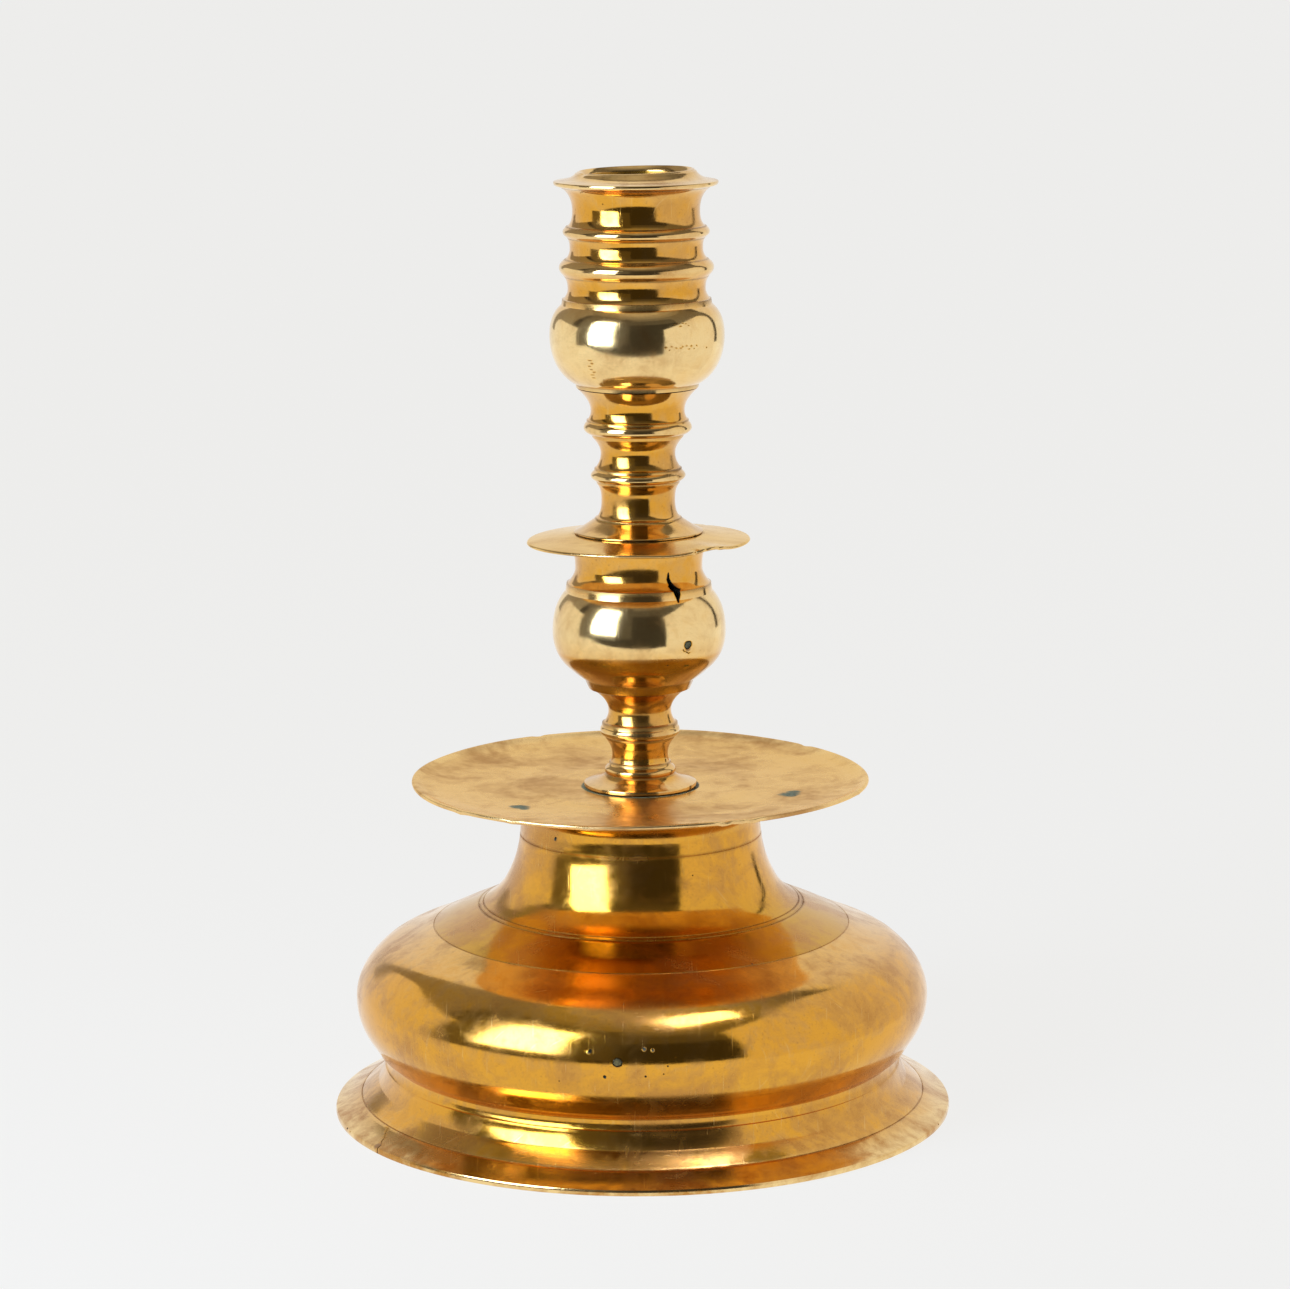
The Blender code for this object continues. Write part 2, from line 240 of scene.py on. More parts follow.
def cut_with(obj, bm, name):
    """Cuts the tool's shape out of the piece and keeps its edges crisp."""
    if obj.name not in uncut:
        whole = bmesh.new()
        whole.from_mesh(obj.data)
        uncut[obj.name] = BVHTree.FromBMesh(whole)
        whole.free()
    bmesh.ops.recalc_face_normals(bm, faces=bm.faces[:])
    tool = new_mesh_object(name, bm)
    cut = obj.modifiers.new(name, "BOOLEAN")
    cut.operation = "DIFFERENCE"
    cut.solver = "EXACT"
    cut.object = tool
    graph = bpy.context.evaluated_depsgraph_get()
    mesh = bpy.data.meshes.new_from_object(obj.evaluated_get(graph), preserve_all_data_layers=True, depsgraph=graph)
    obj.modifiers.clear()
    if len(mesh.vertices) < 0.9 * len(obj.data.vertices):
        raise RuntimeError(f"{name} removed too much of {obj.name}")
    old, obj.data = obj.data, mesh
    mesh.name = obj.name
    bpy.data.meshes.remove(old)
    bpy.data.objects.remove(tool, do_unlink=True)
    mesh.set_sharp_from_angle(angle=math.radians(32))


def dirty_cuts(obj, slot):
    """Gives the walls of everything cut out of a piece the material in this slot."""
    whole = uncut[obj.name]
    for face in obj.data.polygons:
        if whole.find_nearest(face.center)[3] > 0.00003:
            face.material_index = slot


# ================================================================ node helpers
class Nodes:
    """Short names for building a material's nodes."""

    def __init__(self, name):
        self.material = bpy.data.materials.new(name)
        self.material.use_nodes = True
        self.tree = self.material.node_tree
        self.shader = self.tree.nodes["Principled BSDF"]

    def add(self, kind, **settings):
        node = self.tree.nodes.new(kind)
        for key, value in settings.items():
            setattr(node, key, value)
        return node

    def feed(self, socket, value):
        if isinstance(value, bpy.types.NodeSocket):
            self.tree.links.new(value, socket)
        else:
            socket.default_value = value

    def math(self, operation, a, b=0.0, c=None, clamp=False):
        node = self.add("ShaderNodeMath", operation=operation, use_clamp=clamp)
        self.feed(node.inputs[0], a)
        self.feed(node.inputs[1], b)
        if c is not None:
            self.feed(node.inputs[2], c)
        return node.outputs[0]

    def attribute(self, name):
        return self.add("ShaderNodeAttribute", attribute_name=name).outputs["Fac"]

    def place(self):
        return self.add("ShaderNodeTexCoord").outputs["Object"]

    def mapped(self, vector, scale=(1, 1, 1), rotation=(0, 0, 0), location=(0, 0, 0)):
        node = self.add("ShaderNodeMapping")
        self.feed(node.inputs["Vector"], vector)
        node.inputs["Scale"].default_value = scale
        node.inputs["Rotation"].default_value = rotation
        node.inputs["Location"].default_value = location
        return node.outputs[0]

    def noise(self, vector, scale, detail=3.0, roughness=0.55, distortion=0.0, kind="FBM"):
        node = self.add("ShaderNodeTexNoise", noise_type=kind)
        self.feed(node.inputs["Vector"], vector)
        node.inputs["Scale"].default_value = scale
        node.inputs["Detail"].default_value = detail
        node.inputs["Roughness"].default_value = roughness
        node.inputs["Distortion"].default_value = distortion
        return node.outputs["Fac"]

    def between(self, value, low, high, to_low=0.0, to_high=1.0):
        node = self.add("ShaderNodeMapRange", clamp=True)
        self.feed(node.inputs["Value"], value)
        node.inputs["From Min"].default_value = low
        node.inputs["From Max"].default_value = high
        node.inputs["To Min"].default_value = to_low
        node.inputs["To Max"].default_value = to_high
        return node.outputs[0]

    def mix(self, factor, a, b):
        node = self.add("ShaderNodeMix", data_type="RGBA")
        self.feed(node.inputs["Factor"], factor)
        self.feed(node.inputs["A"], a if isinstance(a, bpy.types.NodeSocket) else (*a, 1.0))
        self.feed(node.inputs["B"], b if isinstance(b, bpy.types.NodeSocket) else (*b, 1.0))
        return node.outputs["Result"]

    def near(self, place, spots, ragged):
        """1 inside any of the spots (x, y, z in metres, radius in metres), with a ragged edge, 0 outside."""
        total = None
        for x, y, z, radius in spots:
            gap = self.add("ShaderNodeVectorMath", operation="DISTANCE")
            self.feed(gap.inputs[0], place)
            gap.inputs[1].default_value = (x, y, z)
            uneven = self.math("MULTIPLY_ADD", ragged, radius * 1.1, gap.outputs["Value"])
            inside = self.between(uneven, radius * 1.75, radius * 1.25)
            total = inside if total is None else self.math("MAXIMUM", total, inside)
        return total

    def bump(self, height, distance, normal=None, strength=1.0):
        node = self.add("ShaderNodeBump")
        node.inputs["Strength"].default_value = strength
        node.inputs["Distance"].default_value = distance
        self.feed(node.inputs["Height"], height)
        if normal is not None:
            self.feed(node.inputs["Normal"], normal)
        return node.outputs[0]


def on_surface(r, z, az):
    a = math.radians(az)
    return (r * MM * math.sin(a), -r * MM * math.cos(a), z * MM)


GOLD = (0.765, 0.376, 0.042)
PALE = (0.98, 0.78, 0.405)
TAN = (0.56, 0.27, 0.055)
DEEP = (0.50, 0.30, 0.018)
BROWN = (0.34, 0.15, 0.035)
SOOT = (0.075, 0.036, 0.009)
GREEN = (0.05, 0.16, 0.10)


def brass(name, gold=GOLD, pale=PALE, tan=TAN, rough=0.075, mottle=0.35, ripple=1.0, lines=1.0, scratch=1.0, spots=(), stains=(), coat=0.12, ring=None, edge=(1.0, 1.0, 1.0), crusts=((0.045, 0.10, 0.07), (0.19, 0.28, 0.19))):
    """Old polished brass: bare and pale where it is rubbed, deeper gold elsewhere, with turning lines, scratches and residue."""
    m = Nodes(name)
    place = m.place()
    run, polish, grime = m.attribute("run"), m.attribute("polish"), m.attribute("grime")
    # coordinates that follow the turning: along the outline, and slowly round the axis
    flat = m.add("ShaderNodeVectorMath", operation="MULTIPLY")
    m.feed(flat.inputs[0], place)
    flat.inputs[1].default_value = (1, 1, 0)
    unit = m.add("ShaderNodeVectorMath", operation="NORMALIZE")
    m.feed(unit.inputs[0], flat.outputs[0])
    split = m.add("ShaderNodeSeparateXYZ")
    m.feed(split.inputs[0], unit.outputs[0])
    turned = m.add("ShaderNodeCombineXYZ")
    m.feed(turned.inputs[0], run)
    m.feed(turned.inputs[1], m.math("MULTIPLY", split.outputs[0], 1.6))
    m.feed(turned.inputs[2], m.math("MULTIPLY", split.outputs[1], 1.6))
    turned = turned.outputs[0]

    cloud = m.noise(place, 46.0, 5.0, 0.62, 0.6)
    small = m.noise(place, 260.0, 4.0, 0.6, 0.3)
    fine = m.noise(place, 2200.0, 3.0, 0.6)
    turning = m.noise(turned, 2.4, 3.0, 0.65)
    broad = m.noise(turned, 0.35, 2.0, 0.5)
    cuts_a = m.noise(m.mapped(place, (2600, 70, 110), (0.3, 0.9, 0.5)), 1.0, 2.0, 0.5)
    cuts_b = m.noise(m.mapped(place, (90, 2400, 80), (0.2, -0.6, 1.1)), 1.0, 2.0, 0.5)
    hair = m.math("MAXIMUM", m.between(cuts_a, 0.66, 0.74), m.between(cuts_b, 0.67, 0.75))

    # colour
    rubbed = m.math("MULTIPLY_ADD", m.math("SUBTRACT", m.math("MULTIPLY_ADD", small, 0.4, m.math("MULTIPLY", cloud, 0.8)), 0.6), 1.15, polish, clamp=True)
    colour = m.mix(rubbed, gold, pale)
    colour = m.mix(m.math("MULTIPLY", polish, -1.0, clamp=True), colour, DEEP)
    patch = m.math("MULTIPLY", m.between(m.math("MULTIPLY_ADD", small, 0.35, cloud), 0.60, 0.84), mottle, clamp=True)
    colour = m.mix(patch, colour, tan)
    smudge = m.math("MULTIPLY", m.between(m.noise(place, 125.0, 5.0, 0.68, 0.9), 0.50, 0.74), 0.50 * mottle)
    colour = m.mix(smudge, colour, tan)
    streak = m.math("MULTIPLY", m.between(turning, 0.60, 0.80), 0.16)
    colour = m.mix(streak, colour, BROWN)
    speck = m.math("MULTIPLY", m.between(m.noise(place, 1500.0, 3.0, 0.6), 0.60, 0.70), m.between(rubbed, 0.0, 0.8, 0.55, 0.14))
    colour = m.mix(m.math("MULTIPLY", speck, m.between(cloud, 0.35, 0.60, 0.35, 1.0)), colour, BROWN)
    colour = m.mix(m.math("MULTIPLY", hair, 0.16), colour, pale)
    dirt = m.math("MULTIPLY", grime, m.between(m.math("MULTIPLY_ADD", small, 0.5, cloud), 0.45, 0.95, 0.20, 0.70), clamp=True)
    if stains:
        stain = m.near(place, stains, small)
        colour = m.mix(m.math("MULTIPLY", stain, 0.75), colour, (0.28, 0.13, 0.05))
    colour = m.mix(dirt, colour, SOOT)
    metal = m.math("SUBTRACT", 1.0, m.math("MULTIPLY", dirt, 0.35))
    roughness = m.math("MULTIPLY_ADD", m.between(cloud, 0.3, 0.75), rough * 0.9, rough * 0.62)
    roughness = m.math("MULTIPLY_ADD", patch, 0.10, roughness)
    roughness = m.math("MULTIPLY_ADD", smudge, 0.16, roughness)
    roughness = m.math("MULTIPLY_ADD", hair, 0.06, roughness)
    roughness = m.math("MULTIPLY_ADD", turning, 0.05 * lines, roughness)
    roughness = m.math("MULTIPLY_ADD", dirt, 0.4, roughness, clamp=True)
    if spots:
        crust = m.near(place, spots, small)
        if ring:
            reach = m.add("ShaderNodeVectorMath", operation="LENGTH")
            m.feed(reach.inputs[0], flat.outputs[0])
            off = m.math("ABSOLUTE", m.math("SUBTRACT", m.math("MULTIPLY_ADD", small, 0.0006, reach.outputs["Value"]), ring[0]))
            crust = m.math("MAXIMUM", crust, m.between(off, ring[1], ring[1] * 0.4))
        crust = m.math("MULTIPLY", crust, m.between(fine, 0.30, 0.55, 0.55, 1.0), clamp=True)
        colour = m.mix(crust, colour, m.mix(small, *crusts))
        metal = m.math("MULTIPLY", metal, m.math("SUBTRACT", 1.0, crust))
        roughness = m.math("MULTIPLY_ADD", crust, 0.55, roughness, clamp=True)
    m.feed(m.shader.inputs["Base Color"], colour)
    m.feed(m.shader.inputs["Metallic"], metal)
    m.feed(m.shader.inputs["Roughness"], roughness)
    m.shader.inputs["Specular Tint"].default_value = (*edge, 1.0)
    m.shader.inputs["Coat Weight"].default_value = coat
    m.shader.inputs["Coat Roughness"].default_value = 0.12
    m.shader.inputs["Coat IOR"].default_value = 1.5

    # relief: slow ripples, turning lines, hairline scratches, and a grain in the patina
    normal = m.bump(cloud, 0.000045 * ripple)
    normal = m.bump(small, 0.0000040 * ripple, normal)
    normal = m.bump(broad, 0.0000060 * lines, normal)
    normal = m.bump(turning, 0.0000022 * lines, normal)
    normal = m.bump(hair, 0.0000024 * scratch, normal)
    normal = m.bump(fine, 0.0000030, normal)
    if spots:
        normal = m.bump(m.math("MULTIPLY", crust, m.math("ADD", fine, 0.6)), 0.00012, normal)
    m.feed(m.shader.inputs["Normal"], normal)
    return m.material


def iron(name):
    """Forged and filed iron, dark, with thin rust."""
    m = Nodes(name)
    place = m.place()
    big, small = m.noise(place, 120.0, 5.0, 0.65, 0.5), m.noise(place, 900.0, 4.0, 0.6)
    filed = m.noise(m.mapped(place, (3000, 160, 160), (0, 0.5, 0.4)), 1.0, 2.0)
    rust = m.between(m.math("MULTIPLY_ADD", small, 0.35, big), 0.62, 0.82)
    colour = m.mix(rust, m.mix(small, (0.10, 0.092, 0.086), (0.21, 0.195, 0.18)), (0.17, 0.062, 0.022))
    m.feed(m.shader.inputs["Base Color"], colour)
    m.feed(m.shader.inputs["Metallic"], m.math("SUBTRACT", 0.95, m.math("MULTIPLY", rust, 0.85)))
    m.feed(m.shader.inputs["Roughness"], m.math("MULTIPLY_ADD", rust, 0.35, m.between(small, 0.3, 0.7, 0.34, 0.52)))
    normal = m.bump(big, 0.00022)
    normal = m.bump(small, 0.00005, normal)
    normal = m.bump(filed, 0.000012, normal)
    m.feed(m.shader.inputs["Normal"], normal)
    return m.material


def residue(name):
    """What lies in the flaws: black-brown casting skin with green corrosion on it."""
    m = Nodes(name)
    place = m.place()
    big, small = m.noise(place, 900.0, 4.0, 0.6, 0.5), m.noise(place, 3800.0, 3.0, 0.6)
    green = m.between(m.math("MULTIPLY_ADD", small, 0.3, big), 0.66, 0.76)
    dark = m.mix(m.between(small, 0.35, 0.7), (0.006, 0.005, 0.004), (0.030, 0.018, 0.008))
    m.feed(m.shader.inputs["Base Color"], m.mix(green, dark, (0.030, 0.052, 0.044)))
    m.feed(m.shader.inputs["Metallic"], m.between(big, 0.4, 0.6, 0.30, 0.0))
    m.feed(m.shader.inputs["Roughness"], m.between(small, 0.3, 0.7, 0.45, 0.80))
    m.shader.inputs["Specular IOR Level"].default_value = 0.25
    normal = m.bump(big, 0.00012)
    normal = m.bump(small, 0.00004, normal)
    m.feed(m.shader.inputs["Normal"], normal)
    return m.material


def plug_metal(name, light, dark):
    """A plug of another alloy: dull, grainy, greenish in its hollows."""
    m = Nodes(name)
    place = m.place()
    big, small = m.noise(place, 1400.0, 4.0, 0.6, 0.4), m.noise(place, 4200.0, 3.0, 0.6)
    m.feed(m.shader.inputs["Base Color"], m.mix(m.between(m.math("MULTIPLY_ADD", small, 0.4, big), 0.5, 0.85), dark, light))
    m.feed(m.shader.inputs["Metallic"], m.between(big, 0.35, 0.6, 0.35, 0.85))
    m.feed(m.shader.inputs["Roughness"], m.between(small, 0.3, 0.7, 0.32, 0.6))
    normal = m.bump(big, 0.00010)
    normal = m.bump(small, 0.00003, normal)
    m.feed(m.shader.inputs["Normal"], normal)
    return m.material


# ================================================================ the turned pieces
AROUND_WIDE, AROUND_SLIM = 288, 192

bell_profile, bell_lines = outline(
    (37.4, 92.6), (37.0, 91.6), (36.6, 90.6),
    (34.7, 86.2, -35, -4, 14), (34.95, 82.6, 0, 4, 6), (35.05, 81.8), ("line", 0.34, 0.20), (35.15, 81.0),
    (36.2, 75.8, 6, 14, 12), (38.4, 70.2, 17, 26, 12),
    (40.7, 66.2, 26, 38, 12), (45.6, 61.85, 40, 60, 12), (46.0, 61.6), ("line", 0.34, 0.20), (46.5, 61.35),
    (47.3, 60.95), ("line", 0.30, 0.17), (47.9, 60.75),
    (54.0, 58.0, 64, 67, 10), (60.2, 55.12, 67, 65, 8), (60.5, 54.98), ("line", 0.34, 0.18), (60.8, 54.84), (66.0, 52.4, 65, 66, 8), (76.0, 47.6, 66, 52, 16),
    (83.35, 34.2, 50, 0, 26), (82.0, 27.0, 0, -22, 14), (77.4, 19.4, -22, -30, 12),
    (77.2, 19.15), (75.5, 18.9), (74.5, 16.6, -10, 0, 8), (75.0, 14.3, 0, 25, 8), (75.4, 14.0),
    (75.6, 13.4), (77.15, 9.4, 13, 31, 16), (77.45, 9.0, 37, 50, 4), (82.0, 5.3, 51, 52, 10), (82.3, 5.08), ("line", 0.34, 0.20), (82.65, 4.93),
    (89.2, 1.95, 63, 70, 8), (89.75, 1.72), (89.98, 1.25), (90.0, 0.7), (89.9, 0.2), (89.6, 0.0),
)
bell_inner = spaced(
    [(79.5, 0.0), (74.6, 4.2), (72.3, 10.0), (71.6, 17.0), (74.6, 21.6), (78.8, 28.0), (80.15, 34.2), (78.4, 40.4),
     (73.9, 44.8), (64.8, 49.2), (52.8, 54.6), (44.4, 58.8), (36.6, 67.6), (32.4, 76.0), (31.4, 88.6), (7.4, 88.6), (7.4, 92.6)],
    6.0,
)
bell = lathe(
    "bell_casting", bell_profile + bell_inner, AROUND_WIDE, grooves=bell_lines, groove_width=0.22,
    polish=[(0, 0.85), (3.0, 0.62), (6, 0.10), (18.6, 0.0), (19.4, 0.12), (24, -0.15), (28, -0.08), (34, 0.06), (44, 0.06), (48, 0.10), (51, 0.28), (54.9, 0.34), (55.05, -0.45), (60.6, -0.50), (60.9, -0.45), (61.5, -0.4), (66, -0.15), (72, 0.0), (86, 0.0), (90, -0.35), (92.6, -0.6)],
    warp=wobble(11, 0.055),
)

pan_profile, pan_lines = outline(
    (7.4, 95.3), (24.0, 95.36), (27.5, 95.40), (29.5, 95.37), (31.5, 95.26), (34.0, 95.20), (38.0, 95.2), (43.5, 95.28), (46.0, 95.40), (48.5, 95.58),
    (54.0, 95.95, 92, 94, 10), (61.5, 96.86, 93, 97, 10),
    (64.9, 98.02, 99, 112, 10), (65.6, 98.2, 100, 88, 3), (66.15, 98.0, 70, 30, 3), (66.25, 97.6, 10, -10, 2), (66.0, 97.1, -30, -60, 2),
    (52.0, 93.8, -72, -76, 14), (38.8, 91.9, -78, -84, 8), (37.9, 92.9),
)
pan_underside = spaced([(37.9, 92.9), (7.4, 92.9)], 5.0)[1:]


def pan_warp(where):
    """The pan has sunk a little at the front, its edge waves, and there are nicks along the rim."""
    r, z, az = polar(where)
    reach = np.clip((r - 30.0) / 36.0, 0, 1) ** 2
    a = np.radians(az)
    dz = reach * (0.30 * np.sin(2 * a + 0.9) + 0.16 * np.sin(3 * a - 0.6) + 0.07 * np.sin(7 * a))
    for at, wide, deep in ((20.5, 1.1, 0.55), (28.0, 1.6, 0.45), (-50.0, 1.5, 0.35), (-12.5, 2.6, 0.22), (24.5, 0.8, 0.4), (-33.0, 0.9, 0.3), (71.0, 1.0, 0.3), (131.0, 1.4, 0.4), (-152.0, 1.2, 0.4)):
        dent = np.exp(-((apart(az, at) / wide) ** 2)) * np.clip((r - 64.2) / 1.6, 0, 1)
        dz = dz - deep * dent
        r = r - 0.35 * deep * dent
    a = np.radians(az)
    return np.stack([r * np.sin(a), -r * np.cos(a), z + dz], 1)


pan = lathe(
    "pan_casting", pan_profile + pan_underside, AROUND_WIDE,
    polish=[(91, 0.0), (94.9, 0.2), (95.2, 0.35), (96.5, 0.4), (98.0, 0.8)], warp=pan_warp, groove_width=0.6,
)

lower_profile, lower_lines = outline(
    (19.9, 167.1), (19.9, 166.6), (18.3, 159.8, -32, 0, 14), (20.2, 155.6, 0, 40, 12), (20.5, 155.42), (20.8, 155.3), (21.0, 154.2), (21.2, 152.9),
    (24.98, 141.3, 42, 0, 26), (20.8, 131.2, 0, -48, 20), (16.0, 127.3, -48, -54, 8), (15.7, 127.0), (14.7, 124.6),
    (13.9, 124.3), (9.1, 117.8, -60, 0, 18), (10.1, 114.7, 0, 30, 10), (10.9, 114.3), (11.1, 113.2),
    (11.55, 111.8, 50, 0, 7), (10.6, 110.5, 0, -50, 7), (10.1, 110.3), (10.0, 109.7),
    (8.1, 105.0, -40, 0, 12), (8.4, 103.0, 0, 15, 7), (8.9, 102.7), (9.1, 102.0), (9.3, 101.8),
    (10.35, 100.4, 50, 0, 8), (10.0, 99.4, 0, -30, 5), (10.2, 99.2),
    (15.8, 96.9, 48, 72, 14), (16.3, 96.6, 60, 0, 4), (16.3, 95.8),
)
lower_inner = spaced(
    [(16.3, 95.8), (7.0, 95.8), (7.0, 89.2), (4.45, 89.2), (4.45, 124.0), (11.0, 128.6), (18.6, 134.6), (20.98, 141.3), (18.0, 150.4), (15.2, 155.0),
     (14.2, 158.4), (4.45, 160.6), (4.45, 162.4), (8.4, 162.4), (8.4, 167.1)],
    6.0,
)[1:]
lower = lathe(
    "lower_stem_casting", lower_profile + lower_inner, AROUND_SLIM,
    grooves=[(20.8, 155.3), (15.9, 127.1), (14.0, 124.4), (10.9, 114.3), (10.1, 110.3), (8.9, 102.7), (10.1, 99.2)], groove_width=0.24,
    polish=[(95, 0.6), (97.5, 0.45), (99, 0.1), (101, 0.5), (104, 0.05), (109, 0.15), (111.8, 0.7), (114, 0.2), (118, 0.05), (124, -0.1), (126, -0.15), (130, -0.30), (135.2, -0.22), (136.5, 0.50), (142, 0.88), (152, 0.78), (154.5, 0.40), (158, 0.1), (165, 0.15)],
    warp=wobble(23, 0.03),
)

disc_profile, disc_lines = outline(
    (8.4, 169.9), (17.2, 169.82), (18.4, 169.72), (31.3, 168.24, 80, 84, 16), (31.9, 168.05, 80, 30, 3), (32.1, 167.7, 20, 0, 2), (31.8, 167.3, -20, -70, 3),
    (24.0, 167.32), (8.4, 167.4),
)


def disc_warp(where):
    """The thin disc droops on the left and a little at the back, and its right front edge is bent up and bitten."""
    r, z, az = polar(where)
    reach = np.clip((r - 15.0) / 17.0, 0, 1) ** 1.6
    dz = reach * (-0.62 * np.exp(-((apart(az, -88.0) / 52.0) ** 2)) - 0.40 * np.exp(-((apart(az, 180.0) / 60.0) ** 2)))
    dz = dz + reach * 0.95 * np.exp(-((apart(az, 41.0) / 11.0) ** 2)) - reach * 0.25 * np.exp(-((apart(az, 15.0) / 12.0) ** 2))
    for at, wide, deep in ((31.0, 1.3, 0.75), (37.5, 0.9, 0.45), (46.5, 1.2, 0.55), (-20.0, 1.2, 0.2), (12.0, 0.8, 0.3), (140.0, 1.6, 0.4)):
        bite = np.exp(-((apart(az, at) / wide) ** 2)) * np.clip((r - 29.5) / 2.0, 0, 1)
        r = r - deep * bite
        dz = dz - 0.4 * deep * bite
    a = np.radians(az)
    return np.stack([r * np.sin(a), -r * np.cos(a), z + dz], 1)


disc = lathe(
    "disc_casting", spaced(disc_profile, 1.5), AROUND_WIDE, grooves=[(18.0, 169.8)], groove_width=0.5,
    polish=[(167, 0.7), (168.2, 0.55), (169.0, 0.35), (170, 0.3)], warp=disc_warp,
)

upper_profile, upper_lines = outline(
    (9.0, 211.5), (17.2, 211.5), (13.45, 205.0, -44, 0, 14), (14.2, 202.6, 0, 35, 10), (14.6, 202.4), (14.65, 201.8),
    (15.5, 200.1, 45, 0, 8), (14.3, 198.6, 0, -60, 7), (13.3, 198.4), (13.1, 197.5),
    (10.68, 192.7, -42, 0, 14), (12.0, 188.8, 0, 35, 12), (12.5, 188.5), (12.6, 187.8),
    (13.6, 186.3, 50, 0, 8), (12.7, 185.1, 0, -50, 7), (12.1, 184.9), (11.9, 184.1),
    (10.6, 179.2, -40, 0, 14), (11.5, 174.9, 0, 30, 12), (12.4, 174.2, 35, 60, 4), (12.6, 173.8),
    (18.2, 170.45, 58, 68, 12), (18.45, 170.15, 60, 10, 3), (18.4, 169.93),
)
upper_inner = spaced([(18.4, 169.93), (8.0, 169.97), (8.0, 163.0), (4.45, 163.0), (4.45, 218.0), (9.0, 218.0), (9.0, 211.5)], 6.0)[1:-1]
upper = lathe(
    "upper_stem_casting", upper_profile + upper_inner, AROUND_SLIM,
    grooves=[(14.6, 202.3), (13.6, 198.4), (12.5, 188.5), (12.3, 184.9), (12.5, 174.1)], groove_width=0.24,
    polish=[(170, 0.5), (173, 0.35), (177, 0.05), (184, 0.12), (186.3, 0.75), (188.6, 0.15), (193, 0.05), (198, 0.15), (200.2, 0.75), (202.4, 0.15), (206, 0.06), (211.5, 0.3)],
    warp=wobble(31, 0.025),
)

socket_profile, socket_lines = outline(
    (15.0, 271.7), (15.1, 272.2), (15.35, 272.7), (15.7, 273.2), (16.02, 273.57), (16.2, 273.7), (16.6, 273.52, 60, 20, 3), (17.2, 273.0, 20, 25, 4), (20.2, 270.9, 30, 72, 10),
    (22.9, 270.4), (23.35, 270.15, 80, 20, 4), (23.4, 269.8), (22.9, 269.1, -10, -60, 5), (21.7, 268.8),
    (18.15, 262.2, -65, 0, 18), (19.3, 257.8, 0, 40, 14), (19.9, 257.6),
    (20.9, 256.0, 40, 0, 9), (19.9, 254.6, 0, -50, 7), (19.6, 254.3),
    (18.95, 251.2, -35, 0, 10), (19.9, 248.6, 0, 40, 9), (20.4, 248.3),
    (22.05, 245.9, 50, 0, 10), (20.9, 243.8, 0, -45, 8), (20.6, 243.4),
    (19.65, 239.9, -35, 0, 10), (20.8, 237.1, 0, 40, 10), (21.2, 237.0), (21.5, 235.4),
    (24.98, 226.6, 52, 0, 26), (17.9, 212.9, 0, -62, 28), (17.6, 212.7), (17.5, 211.8),
)
socket_inner = spaced(
    [(17.5, 211.8), (9.4, 211.8), (9.4, 218.6), (4.3, 218.6), (4.3, 229.0), (0.0, 231.0)], 6.0
)[1:]
socket_bore = spaced([(0.0, 235.5), (13.5, 235.5), (15.0, 237.0), (15.0, 271.7)], 4.0)[:-1]


def lip_tilt(where):
    """The lip's top was filed a little out of level: low on the left."""
    r, z, az = polar(where)
    x = where[:, 0] + 0.25 * where[:, 1]
    near_top = np.clip((z - 270.6) / 3.0, 0, 1)
    out = wobble(41, 0.03)(where)
    out[:, 2] -= near_top * np.clip((16.1 - x) / 32.0, 0, 1.05) * 0.72
    nick = np.exp(-((apart(az, -62.0) / 5.0) ** 2)) * np.clip((z - 272.4) / 1.2, 0, 1)
    out[:, 2] -= 0.40 * nick
    return out


socket_pts = socket_bore + socket_profile + socket_inner
socket = lathe(
    "socket_casting", socket_pts, AROUND_SLIM, closed=False,
    grooves=[(21.2, 237.0), (20.6, 243.4), (20.4, 248.3), (19.6, 254.3), (19.9, 257.6), (21.3, 268.6), (17.8, 212.8)], groove_width=0.26, dull=(15.05, 235.0),
    polish=[(212, 0.6), (216, 0.70), (224, 0.90), (231, 0.85), (234.5, 0.5), (236, 0.4), (240, 0.05), (244, 0.25), (246, 0.75), (248.2, 0.25), (251, 0.08), (254, 0.2), (256, 0.7), (257.7, 0.2), (262, 0.04), (267.5, 0.15), (269.5, 0.8), (270.5, 0.6), (273.5, 0.55)],
    warp=lip_tilt,
)


